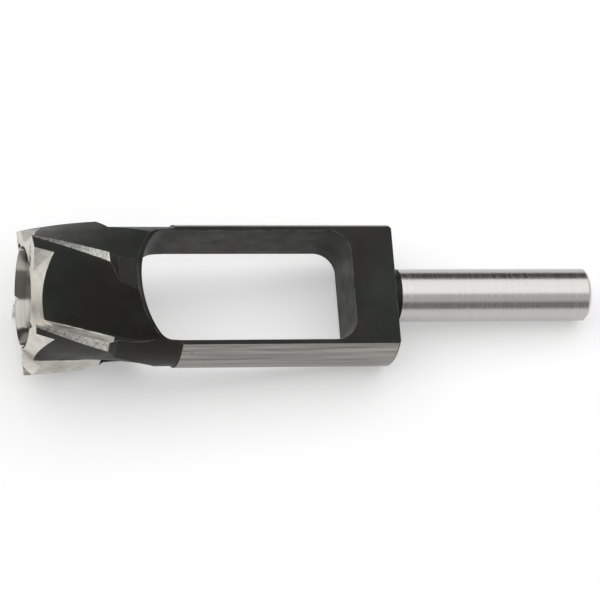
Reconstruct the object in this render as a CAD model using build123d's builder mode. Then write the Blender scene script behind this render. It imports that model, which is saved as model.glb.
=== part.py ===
from build123d import *
from math import cos, radians, sin, sqrt, tan
import os

# Plug cutter, one piece of tool steel. Millimetres and degrees.
# It is drawn with its axis along X, the cutting rim at x = 0 and the shank towards +X. The two
# flats face +Z and -Z and the chip window passes through along Z. Angles about the axis are
# counted from +Z, positive from +Z towards -Y. At the end the tool is laid down as it rests.

# Overall
overall_length = 141.8
body_length = 90.9

# Bore that takes the plug, flared towards the cutting rim so that it cuts a tapered plug
mouth_radius = 12.35
bore_flare_length = 5.5
bore_flare_angle = 9.8
bore_depth = 62.0

# Head with the teeth
tooth_count = 5
head_length = 18.4
crest_radius_front = 18.9
crest_radius_rear = 18.5
head_cone_length = 2.3

# Ground barrel, and the slightly smaller round tube between it and the head
barrel_radius = 17.4
barrel_step_height = 0.45
barrel_start = 36.8
barrel_step_length = 0.45
body_end_chamfer = 0.45

# Flats and window
flat_thickness = 17.5
flat_start = 37.8
flat_cutter_radius = 14.0
window_side_thickness = 3.5
window_start = 26.6
window_end = 80.3
window_start_radius = 19.5
window_start_corner = 4.0
window_end_corner = 5.4

# Shank
shank_radius = 6.5
shank_end_chamfer = 0.7
neck_radius = 6.1
neck_length = 2.2

# Gullets, which wind round the head like a coarse right-hand thread. Beyond the lift's start
# their floor climbs out of the tube and both sides close in, faster and faster
first_crest_angle = -34.0
twist_per_mm = 0.92
gullet_run_in = 3.0
gullet_run_out = 34.0
gullet_sections = 6
gullet_depth_front = 3.8
gullet_depth_rear = 2.7
gullet_floor_sag = 0.5
gullet_lift_start = 22.0
gullet_lift_rate = 0.0135
gullet_floor_angle = 47.0
gullet_root_lead = 1.5
gullet_close_rate = 0.165
gullet_swing_rate = 0.1
gullet_root_fillet = 0.45
relief_height = 0.6
relief_lag_front = -1.2
relief_lag_rear = 5.0

# Front of each tooth
edge_setback = 0.15
edge_hook = 13.7
land_width = 2.2
land_relief = 15.0
flank_relief = 74.0
throat_cone_angle = 45.0
throat_notch_depth = 1.0
throat_notch_half_width = 0.9
throat_notch_reach = 2.2

# How the tool lies, with one flat up: rolled a little until it rests on a tooth, then tipped
# until the shank's end meets the bench
rest_roll = 8.0
rest_pitch = 4.9

# Reach of the cutting tools past the metal
clear = 2.0
far = 60.0

tooth_pitch = 360 / tooth_count
bore_radius = mouth_radius - bore_flare_length * tan(radians(bore_flare_angle))
half_flat = flat_thickness / 2
half_window = barrel_radius - window_side_thickness
tube_radius = barrel_radius - barrel_step_height
shank_start = body_length + neck_length
shank_middle = (shank_start + overall_length - shank_end_chamfer) / 2
axis_x = Vector(1, 0, 0)


def around(radius, angle):
    """Point of a cross-section at that radius and angle, as the (y, z) of Plane.YZ."""
    return (-radius * sin(radians(angle)), radius * cos(radians(angle)))


def radial(radius, angle):
    """The same point in space, in the plane x = 0."""
    return Vector(0, *around(radius, angle))


# One gullet: sections along the head, each turned a little further, joined smoothly
with BuildPart() as gullet:
    for step in range(gullet_sections):
        x = -gullet_run_in + step * (gullet_run_out + gullet_run_in) / (gullet_sections - 1)
        share = x / head_length
        beyond = max(x - gullet_lift_start, 0) ** 2
        crest_angle = first_crest_angle + twist_per_mm * x
        crest_radius = crest_radius_front + share * (crest_radius_rear - crest_radius_front)
        crest_radius += gullet_lift_rate * beyond
        root_radius = crest_radius - gullet_depth_front - share * (gullet_depth_rear - gullet_depth_front)
        relief_lag = relief_lag_front + share * (relief_lag_rear - relief_lag_front)
        middle_angle = crest_angle + gullet_floor_angle - gullet_swing_rate * beyond
        root_angle = crest_angle + tooth_pitch - gullet_root_lead - gullet_close_rate * beyond
        floor_start = around(crest_radius + relief_height, crest_angle + relief_lag)
        floor_middle = around(root_radius - gullet_floor_sag, middle_angle)
        root = Vector(*around(root_radius, root_angle))
        wall_way = Vector(*around(crest_radius, root_angle + gullet_root_lead)) - root
        wall_top = root + wall_way.normalized() * (crest_radius_front / 2)
        with BuildSketch(Plane.YZ.offset(x)) as section:
            with BuildLine():
                ThreePointArc(floor_start, floor_middle, root)
                Line(root, wall_top)
                Line(wall_top, around(crest_radius_front * 1.45, crest_angle + tooth_pitch / 2))
                Line(around(crest_radius_front * 1.45, crest_angle + tooth_pitch / 2), floor_start)
            make_face()
            fillet(section.vertices().sort_by_distance((root.X, root.Y, 0))[0], gullet_root_fillet)
    loft()

# The grinding of one gullet's mouth: a cone down to the bore's rim, kept to the space between
# the flank of one tooth and the cutting face of the next
edge_inner = radial(mouth_radius, first_crest_angle + edge_hook)
edge_outer = radial(crest_radius_front, first_crest_angle)
edge_way = (edge_outer - edge_inner).normalized()
edge_plane = Plane(origin=edge_inner - edge_way * mouth_radius, x_dir=axis_x.cross(edge_way), z_dir=edge_way)
next_inner = edge_inner.rotate(Axis.X, tooth_pitch)
next_way = edge_way.rotate(Axis.X, tooth_pitch)
next_plane = Plane(origin=next_inner - next_way * mouth_radius, x_dir=axis_x.cross(next_way), z_dir=next_way)
helix_slope = radians(twist_per_mm) * crest_radius_front

with BuildPart() as mouth:
    with BuildSketch(Plane.XZ) as cone_side:
        with BuildLine():
            cone_foot = (-clear, mouth_radius - clear * tan(radians(throat_cone_angle)))
            cone_top = (far / 4, mouth_radius + far / 4 * tan(radians(throat_cone_angle)))
            Polyline(cone_foot, cone_top, (-clear, cone_top[1]), close=True)
        make_face()
    revolve(axis=Axis.X)
    with BuildSketch(edge_plane) as flank_side:
        with BuildLine():
            land_end = (land_width, edge_setback + land_width * tan(radians(land_relief)))
            flank_end = (far, land_end[1] + (far - land_width) * tan(radians(flank_relief)))
            Polyline((0, -clear), (0, edge_setback), land_end, flank_end, (far, -clear), close=True)
        make_face()
    extrude(amount=far, mode=Mode.INTERSECT)
    with BuildSketch(next_plane) as face_side:
        with BuildLine():
            Polyline(
                (-clear * helix_slope, -clear),
                (far * helix_slope, far),
                (-far, far),
                (-far, -clear),
                close=True,
            )
        make_face()
    extrude(amount=far, mode=Mode.INTERSECT)

# The small notch where a cutting face runs out at the bore's rim
with BuildPart() as throat_notch:
    with BuildSketch(edge_plane.offset(mouth_radius - clear)) as notch_side:
        with BuildLine():
            Polyline(
                (-throat_notch_half_width, -edge_setback),
                (0, throat_notch_depth),
                (throat_notch_half_width, -edge_setback),
                close=True,
            )
        make_face()
    extrude(amount=clear + throat_notch_reach)

with BuildPart() as tool:
    # Turned blank
    with BuildSketch(Plane.XZ) as blank_side:
        with BuildLine():
            Polyline(
                (0, 0),
                (0, crest_radius_front),
                (head_length, crest_radius_rear),
                (head_length + head_cone_length, tube_radius),
                (barrel_start - barrel_step_length, tube_radius),
                (barrel_start, barrel_radius),
                (body_length - body_end_chamfer, barrel_radius),
                (body_length, barrel_radius - body_end_chamfer),
                (body_length, neck_radius),
                (shank_start, neck_radius),
                (shank_start, shank_radius),
                (overall_length - shank_end_chamfer, shank_radius),
                (overall_length, shank_radius - shank_end_chamfer),
                (overall_length, 0),
                close=True,
            )
        make_face()
    revolve(axis=Axis.X)

    # Teeth
    for tooth in range(tooth_count):
        turn = tooth * tooth_pitch
        add(gullet.part.rotate(Axis.X, turn), mode=Mode.SUBTRACT)
        add(mouth.part.rotate(Axis.X, turn), mode=Mode.SUBTRACT)
        add(throat_notch.part.rotate(Axis.X, turn), mode=Mode.SUBTRACT)

    # Bore from the cutting rim into the window
    with BuildSketch(Plane.XZ) as bore_side:
        with BuildLine():
            Polyline(
                (0, 0),
                (0, mouth_radius),
                (bore_flare_length, bore_radius),
                (bore_depth, bore_radius),
                (bore_depth, 0),
                close=True,
            )
        make_face()
    revolve(axis=Axis.X, mode=Mode.SUBTRACT)

    # Flats, each running out at its head end in the curve of the cutter that milled it
    curve_rise = barrel_radius + clear - half_flat
    curve_run = sqrt(flat_cutter_radius**2 - (flat_cutter_radius - min(curve_rise, flat_cutter_radius)) ** 2)
    for side in (1, -1):
        with BuildSketch(Plane.XZ) as flat_side:
            with BuildLine():
                run_out = RadiusArc(
                    (flat_start, side * half_flat),
                    (flat_start - curve_run, side * (half_flat + curve_rise)),
                    side * flat_cutter_radius,
                )
                Polyline(
                    run_out @ 1,
                    (shank_start - neck_length / 2, side * (half_flat + curve_rise)),
                    (shank_start - neck_length / 2, side * half_flat),
                    run_out @ 0,
                )
            make_face()
        extrude(amount=far / 2, both=True, mode=Mode.SUBTRACT)

    # Chip window, bowed at its head end and squared with round corners at its shank end
    bow = window_start_radius - sqrt(window_start_radius**2 - half_window**2)
    with BuildSketch(Plane.XY) as window:
        with BuildLine():
            head_end = ThreePointArc(
                (window_start + bow, half_window), (window_start, 0), (window_start + bow, -half_window)
            )
            Polyline(head_end @ 1, (window_end, -half_window), (window_end, half_window), head_end @ 0)
        make_face()
        fillet(window.vertices().group_by(Axis.X)[0], window_start_corner)
        fillet(window.vertices().group_by(Axis.X)[-1], window_end_corner)
    extrude(amount=far / 2, both=True, mode=Mode.SUBTRACT)

# Laid down: the middle of the shank's ground length becomes the origin
laid_down = Rotation(0, rest_pitch, 0) * Rotation(rest_roll, 0, 0) * Pos(-shank_middle, 0, 0)
with BuildPart() as plug_cutter:
    add(tool.part.moved(laid_down))

plug_cutter.part.label = "plug_cutter"
os.makedirs("parts", exist_ok=True)
export_step(plug_cutter.part, "parts/plug_cutter.step")
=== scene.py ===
from math import hypot, pi, radians

import bpy
from mathutils import Matrix, Vector


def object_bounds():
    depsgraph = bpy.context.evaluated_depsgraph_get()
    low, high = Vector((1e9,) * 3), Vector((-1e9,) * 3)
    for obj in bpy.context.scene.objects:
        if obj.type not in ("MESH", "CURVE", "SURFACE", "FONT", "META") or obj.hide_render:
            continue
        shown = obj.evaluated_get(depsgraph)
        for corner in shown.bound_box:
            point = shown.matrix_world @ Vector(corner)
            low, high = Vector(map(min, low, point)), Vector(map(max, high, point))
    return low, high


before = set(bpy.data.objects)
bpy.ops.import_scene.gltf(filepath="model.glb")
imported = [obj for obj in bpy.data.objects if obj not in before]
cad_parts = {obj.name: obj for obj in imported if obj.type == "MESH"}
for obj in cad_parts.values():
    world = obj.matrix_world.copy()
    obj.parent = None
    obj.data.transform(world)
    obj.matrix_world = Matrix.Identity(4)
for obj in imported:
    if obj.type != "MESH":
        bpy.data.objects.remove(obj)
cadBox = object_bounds()
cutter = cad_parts["plug_cutter"]
print("Loaded the plug cutter, box", [tuple(round(v, 4) for v in c) for c in cadBox])

# How the tool lies on the floor: degrees, and the distance of its cutting rim from the origin
lie = {"roll": 8.0, "pitch": 4.9, "rimReach": 0.1171}
toolRoll = Matrix.Rotation(radians(lie["roll"]), 3, "X")
toolTurn = Matrix.Rotation(radians(lie["pitch"]), 3, "Y") @ toolRoll
toTool = toolTurn.transposed()


# Camera: where the photographer stood, a long lens from nearly overhead
camera = {
    "location": (-0.19072, -0.38239, 0.79450),
    "turn": (26.345, -7.214, -6.251),
    "lens": 217.61,
    "sensor": 36,
    "clip": (0.05, 20),
}
cameraData = bpy.data.cameras.new("camera")
cameraData.lens = camera["lens"]
cameraData.sensor_width = camera["sensor"]
cameraData.clip_start, cameraData.clip_end = camera["clip"]
cameraObject = bpy.data.objects.new("camera", cameraData)
cameraObject.location = camera["location"]
cameraObject.rotation_euler = [radians(t) for t in camera["turn"]]
bpy.context.scene.collection.objects.link(cameraObject)
bpy.context.scene.camera = cameraObject
print("Camera placed")


# Small helpers for node trees
def startMaterial(name):
    material = bpy.data.materials.new(name)
    material.use_nodes = True
    tree = material.node_tree
    return material, tree, tree.nodes["Principled BSDF"]


def addNode(tree, kind, **values):
    node = tree.nodes.new(kind)
    for key, value in values.items():
        setattr(node, key, value)
    return node


def link(tree, output, target):
    tree.links.new(output, target)


def toolCoordinates(tree):
    # Object coordinates turned into the tool's own: X along its axis, Z out of the upper flat
    coordinates = addNode(tree, "ShaderNodeTexCoord")
    level = addNode(tree, "ShaderNodeVectorRotate", rotation_type="Y_AXIS", invert=True)
    level.inputs["Angle"].default_value = radians(lie["pitch"])
    upright = addNode(tree, "ShaderNodeVectorRotate", rotation_type="X_AXIS", invert=True)
    upright.inputs["Angle"].default_value = radians(lie["roll"])
    link(tree, coordinates.outputs["Object"], level.inputs["Vector"])
    link(tree, level.outputs["Vector"], upright.inputs["Vector"])
    return upright.outputs["Vector"]


def stretched(tree, vector, scale):
    mapping = addNode(tree, "ShaderNodeMapping", vector_type="POINT")
    mapping.inputs["Scale"].default_value = scale
    link(tree, vector, mapping.inputs["Vector"])
    return mapping.outputs["Vector"]


# Noise detail of the broad stains, and of lines, pits and grain
detail = {"broad": 4.0, "fine": 3.0, "roughness": 0.55}


def noise(tree, vector, scale, octaves=detail["broad"]):
    node = addNode(tree, "ShaderNodeTexNoise")
    node.inputs["Scale"].default_value = scale
    node.inputs["Detail"].default_value = octaves
    node.inputs["Roughness"].default_value = detail["roughness"]
    link(tree, vector, node.inputs["Vector"])
    return node.outputs["Fac"]


def spread(tree, value, low, high, toLow=0.0, toHigh=1.0):
    node = addNode(tree, "ShaderNodeMapRange")
    node.inputs["From Min"].default_value = low
    node.inputs["From Max"].default_value = high
    node.inputs["To Min"].default_value = toLow
    node.inputs["To Max"].default_value = toHigh
    link(tree, value, node.inputs["Value"])
    return node.outputs["Result"]


def mixColour(tree, factor, first, second):
    node = addNode(tree, "ShaderNodeMix", data_type="RGBA")
    link(tree, factor, node.inputs["Factor"])
    for socket, colour in ((node.inputs[6], first), (node.inputs[7], second)):
        if isinstance(colour, tuple):
            socket.default_value = (*colour, 1)
        else:
            link(tree, colour, socket)
    return node.outputs[2]


def multiply(tree, first, second):
    node = addNode(tree, "ShaderNodeMath", operation="MULTIPLY")
    for socket, value in zip(node.inputs, (first, second)):
        if isinstance(value, float):
            socket.default_value = value
        else:
            link(tree, value, socket)
    return node.outputs["Value"]


def larger(tree, first, second):
    node = addNode(tree, "ShaderNodeMath", operation="MAXIMUM")
    link(tree, first, node.inputs[0])
    link(tree, second, node.inputs[1])
    return node.outputs["Value"]


def roundedEdge(tree, radius):
    bevel = addNode(tree, "ShaderNodeBevel", samples=6)
    bevel.inputs["Radius"].default_value = radius
    return bevel.outputs["Normal"]


def edgeMask(tree, radius, low, high):
    # How far the rounded normal leans from the flat one: 0 on a face, 1 at a sharp edge
    geometry = addNode(tree, "ShaderNodeNewGeometry")
    dot = addNode(tree, "ShaderNodeVectorMath", operation="DOT_PRODUCT")
    link(tree, roundedEdge(tree, radius), dot.inputs[0])
    link(tree, geometry.outputs["Normal"], dot.inputs[1])
    return spread(tree, dot.outputs["Value"], high, low)


# Height of the finest marks, in metres
markHeight = 0.00002


def bumped(tree, shader, height, strength, edgeRadius):
    bump = addNode(tree, "ShaderNodeBump")
    bump.inputs["Distance"].default_value = markHeight
    bump.inputs["Strength"].default_value = strength
    link(tree, height, bump.inputs["Height"])
    link(tree, roundedEdge(tree, edgeRadius), bump.inputs["Normal"])
    link(tree, bump.outputs["Normal"], shader.inputs["Normal"])


# Black oxide: near-black with a green cast, rust-brown patches, pale on its edges, partly from wear
# and partly as a painted highlight. Sizes are how fine a layer is, and ranges are where in the
# noise it comes in
oxide = {
    "dark": (0.0125, 0.0142, 0.0110),
    "light": (0.0230, 0.0252, 0.0195),
    "brown": (0.024, 0.0125, 0.0088),
    # Pale edge colour: partly rubbed wear, partly a painted highlight along the sharp edges
    "edgeWearAndHighlight": (0.24, 0.235, 0.21),
    "cloudSize": 90,
    "cloudRange": (0.38, 0.66),
    "patchSize": 55,
    "patchRange": (0.50, 0.68),
    "patchShare": 0.55,
    "wearAndHighlightRadius": 0.00022,
    "wearAndHighlightRange": (0.90, 0.995),
    "chipSize": 420,
    "chipRange": (0.35, 0.62),
    "smearSize": 240,
    "smearRange": (0.3, 0.7),
    "roughness": (0.36, 0.50),
    "specular": 0.14,
    "grainSize": 1800,
    "grain": 0.35,
    "edgeRadius": 0.00018,
}


def makeOxide():
    material, tree, shader = startMaterial("blackened_steel")
    vector = toolCoordinates(tree)
    cloud = spread(tree, noise(tree, vector, oxide["cloudSize"]), *oxide["cloudRange"])
    patch = noise(tree, vector, oxide["patchSize"], detail["fine"])
    rust = multiply(tree, spread(tree, patch, *oxide["patchRange"]), oxide["patchShare"])
    base = mixColour(tree, cloud, oxide["dark"], oxide["light"])
    tinted = mixColour(tree, rust, base, oxide["brown"])
    # Pale edges: partly rubbed wear, partly a painted highlight standing in for the light the edges
    # catch
    wearAndHighlight = edgeMask(tree, oxide["wearAndHighlightRadius"], *oxide["wearAndHighlightRange"])
    chips = spread(tree, noise(tree, vector, oxide["chipSize"]), *oxide["chipRange"])
    wornAndHighlit = mixColour(tree, multiply(tree, wearAndHighlight, chips), tinted, oxide["edgeWearAndHighlight"])
    link(tree, wornAndHighlit, shader.inputs["Base Color"])
    smear = noise(tree, vector, oxide["smearSize"])
    sheen = spread(tree, smear, *oxide["smearRange"], *oxide["roughness"])
    link(tree, sheen, shader.inputs["Roughness"])
    shader.inputs["Specular IOR Level"].default_value = oxide["specular"]
    grain = noise(tree, vector, oxide["grainSize"], detail["fine"])
    bumped(tree, shader, grain, oxide["grain"], oxide["edgeRadius"])
    return material


# Ground steel: bright, with fine lines along the way that it was ground. Lines are how fine they
# are along the axis and across it; pits are how rare the dark ones are and how fine
ground = {
    "shank": {
        "colour": (0.50, 0.495, 0.475), "deep": (0.46, 0.455, 0.435), "lines": (2600, 60, 60),
        "roughness": (0.19, 0.29), "bump": 0.03, "pits": (0.75, 300),
    },
    "barrel": {
        "colour": (0.33, 0.325, 0.298), "deep": (0.15, 0.147, 0.134), "lines": (40, 900, 900),
        "roughness": (0.28, 0.42), "bump": 0.12, "pits": (0.70, 300),
    },
    "facet": {
        "colour": (0.69, 0.665, 0.60), "deep": (0.55, 0.53, 0.475), "lines": (500, 500, 900),
        "roughness": (0.30, 0.42), "bump": 0.12, "pits": (0.70, 1100),
    },
    "wall": {
        "colour": (0.90, 0.87, 0.81), "deep": (0.70, 0.67, 0.61), "lines": (150, 900, 900),
        "roughness": (0.42, 0.58), "bump": 0.12, "pits": (0.68, 1100),
    },
    "margin": {
        "colour": (0.60, 0.59, 0.55), "deep": (0.30, 0.295, 0.265), "lines": (1500, 900, 900),
        "roughness": (0.30, 0.46), "bump": 0.25, "pits": (0.58, 2000),
    },
    "bore": {
        "colour": (0.40, 0.39, 0.36), "deep": (0.31, 0.30, 0.275), "lines": (1300, 50, 50),
        "roughness": (0.13, 0.20), "bump": 0.03, "pits": (0.70, 300),
    },
}

# What all the ground finishes share
grinding = {
    "lineRange": (0.30, 0.62),
    "sheenRange": (0.3, 0.7),
    "pitSoftness": 0.08,
    "pitShade": 0.4,
    "edgeRadius": 0.00015,
}


def makeGround(name, finish):
    material, tree, shader = startMaterial(name)
    vector = toolCoordinates(tree)
    lines = noise(tree, stretched(tree, vector, finish["lines"]), 1.0, detail["fine"])
    base = mixColour(
        tree, spread(tree, lines, *grinding["lineRange"]), finish["deep"], finish["colour"]
    )
    rarity, size = finish["pits"]
    pits = noise(tree, vector, size, detail["fine"])
    shown = spread(tree, pits, rarity, rarity + grinding["pitSoftness"])
    dull = tuple(grinding["pitShade"] * c for c in finish["deep"])
    link(tree, mixColour(tree, shown, base, dull), shader.inputs["Base Color"])
    sheen = spread(tree, lines, *grinding["sheenRange"], *finish["roughness"])
    link(tree, sheen, shader.inputs["Roughness"])
    shader.inputs["Metallic"].default_value = 1.0
    bumped(tree, shader, lines, finish["bump"], grinding["edgeRadius"])
    return material


slotOf = {name: number for number, name in enumerate(["oxide"] + list(ground))}
cutter.data.materials.clear()
cutter.data.materials.append(makeOxide())
for name, finish in ground.items():
    cutter.data.materials.append(makeGround("ground_" + name, finish))

# Where each finish lies, in metres along the axis from the cutting rim and out from it
zones = {
    "shankStart": 0.0930,
    "barrelStart": 0.0366,
    "barrelEnd": 0.0910,
    "barrelRadius": 0.0172,
    "boreRadius": 0.01245,
    "boreEnd": 0.0250,
    "headEnd": 0.01845,
    "wallEnd": 0.0195,
    "crestFront": 0.0189,
    "crestRear": 0.0185,
    "crestSlack": 0.00015,
}

# How squarely a face has to look outward, sideways or to the front to belong to one of them
facing = {"round": 0.9, "margin": 0.95, "wall": 0.8, "wallTilt": 0.5, "flank": 0.26, "cone": 0.3}


def finishAt(centre, normal):
    spot = toTool @ centre
    way = toTool @ normal
    along = spot.x + lie["rimReach"]
    radius = hypot(spot.y, spot.z)
    outward = (way.y * spot.y + way.z * spot.z) / max(radius, 1e-6)
    sideways = (way.z * spot.y - way.y * spot.z) / max(radius, 1e-6)
    if along > zones["shankStart"]:
        return "shank"
    onBarrel = zones["barrelStart"] < along < zones["barrelEnd"]
    if onBarrel and radius > zones["barrelRadius"] and outward > facing["round"]:
        return "barrel"
    inBore = along < zones["boreEnd"] and radius < zones["boreRadius"]
    if inBore and outward < -facing["round"]:
        return "bore"
    upright = abs(sideways) > facing["wall"] and abs(outward) < facing["wallTilt"]
    if upright and along < zones["wallEnd"]:
        return "wall"
    if along < zones["headEnd"]:
        share = along / zones["headEnd"]
        crest = zones["crestFront"] + (zones["crestRear"] - zones["crestFront"]) * share
        if radius > crest - zones["crestSlack"] and outward > facing["margin"]:
            return "margin"
        if way.x < -facing["flank"]:
            return "facet" if way.x < -facing["cone"] else "wall"
    return "oxide"


for polygon in cutter.data.polygons:
    polygon.material_index = slotOf[finishAt(polygon.center, polygon.normal)]
print("Finishes laid on", len(cutter.data.polygons), "faces")


# Floor: plain, pale and level under the lowest point. Lift is what the camera, and the steel's
# mirror images, see on top of its lit colour
floor = {"size": 3.0, "colour": (0.70, 0.70, 0.70), "lift": 0.35}


def makeFloor():
    material, tree, shader = startMaterial("floor")
    shader.inputs["Base Color"].default_value = (*floor["colour"], 1)
    shader.inputs["Roughness"].default_value = 1.0
    shader.inputs["Specular IOR Level"].default_value = 0.0
    paths = addNode(tree, "ShaderNodeLightPath")
    seen = larger(tree, paths.outputs["Is Camera Ray"], paths.outputs["Is Glossy Ray"])
    seen = larger(tree, seen, paths.outputs["Is Transmission Ray"])
    shader.inputs["Emission Color"].default_value = (1, 1, 1, 1)
    link(tree, multiply(tree, seen, floor["lift"]), shader.inputs["Emission Strength"])
    half = floor["size"] / 2
    low = cadBox[0][2]
    mesh = bpy.data.meshes.new("floor")
    corners = [(-half, -half, low), (half, -half, low), (half, half, low), (-half, half, low)]
    mesh.from_pydata(corners, [], [(0, 1, 2, 3)])
    mesh.materials.append(material)
    plane = bpy.data.objects.new("floor", mesh)
    bpy.context.scene.collection.objects.link(plane)


makeFloor()
print("Floor laid")


# Light: a wide softbox overhead that leans back, a weaker one in front of it and one at the teeth's
# end, in a dim room. Lean is in degrees from overhead, towards +Y and towards -X; shift is along X;
# brightness is what a mirror would show
lights = {
    "overhead": {
        "lean": (15, 0), "shift": 0.1, "distance": 0.9, "size": (2.2, 1.26), "brightness": 1.46,
    },
    "front": {
        "lean": (-39, 0), "shift": 0.85, "distance": 0.9, "size": (1.7, 0.62), "brightness": 0.5,
    },
    "side": {
        "lean": (12, 68), "shift": 0.0, "distance": 1.2, "size": (0.8, 1.0), "brightness": 0.88,
    },
}
room = {"back": 0.07, "front": 0.28}


def makeSoftbox(name, box, middle):
    back, left = (radians(t) for t in box["lean"])
    area = bpy.data.lights.new(name, "AREA")
    area.shape = "RECTANGLE"
    area.size, area.size_y = box["size"]
    area.energy = box["brightness"] * pi * area.size * area.size_y
    areaObject = bpy.data.objects.new(name, area)
    areaObject.rotation_euler = (-back, -left, 0)
    away = areaObject.rotation_euler.to_matrix() @ Vector((0, 0, box["distance"]))
    areaObject.location = middle + away + Vector((box["shift"], 0, 0))
    bpy.context.scene.collection.objects.link(areaObject)


def makeRoom():
    world = bpy.data.worlds.new("room")
    world.use_nodes = True
    tree = world.node_tree
    coordinates = addNode(tree, "ShaderNodeTexCoord")
    split = addNode(tree, "ShaderNodeSeparateXYZ")
    link(tree, coordinates.outputs["Generated"], split.inputs["Vector"])
    glow = spread(tree, split.outputs["Y"], -1, 1, room["front"], room["back"])
    link(tree, glow, tree.nodes["Background"].inputs["Strength"])
    tree.nodes["Background"].inputs["Color"].default_value = (1, 1, 1, 1)
    bpy.context.scene.world = world


middle = (Vector(cadBox[0]) + Vector(cadBox[1])) / 2
for name, box in lights.items():
    makeSoftbox(name, box, middle)
makeRoom()
bpy.context.scene.view_settings.view_transform = "Standard"
print("Lit")
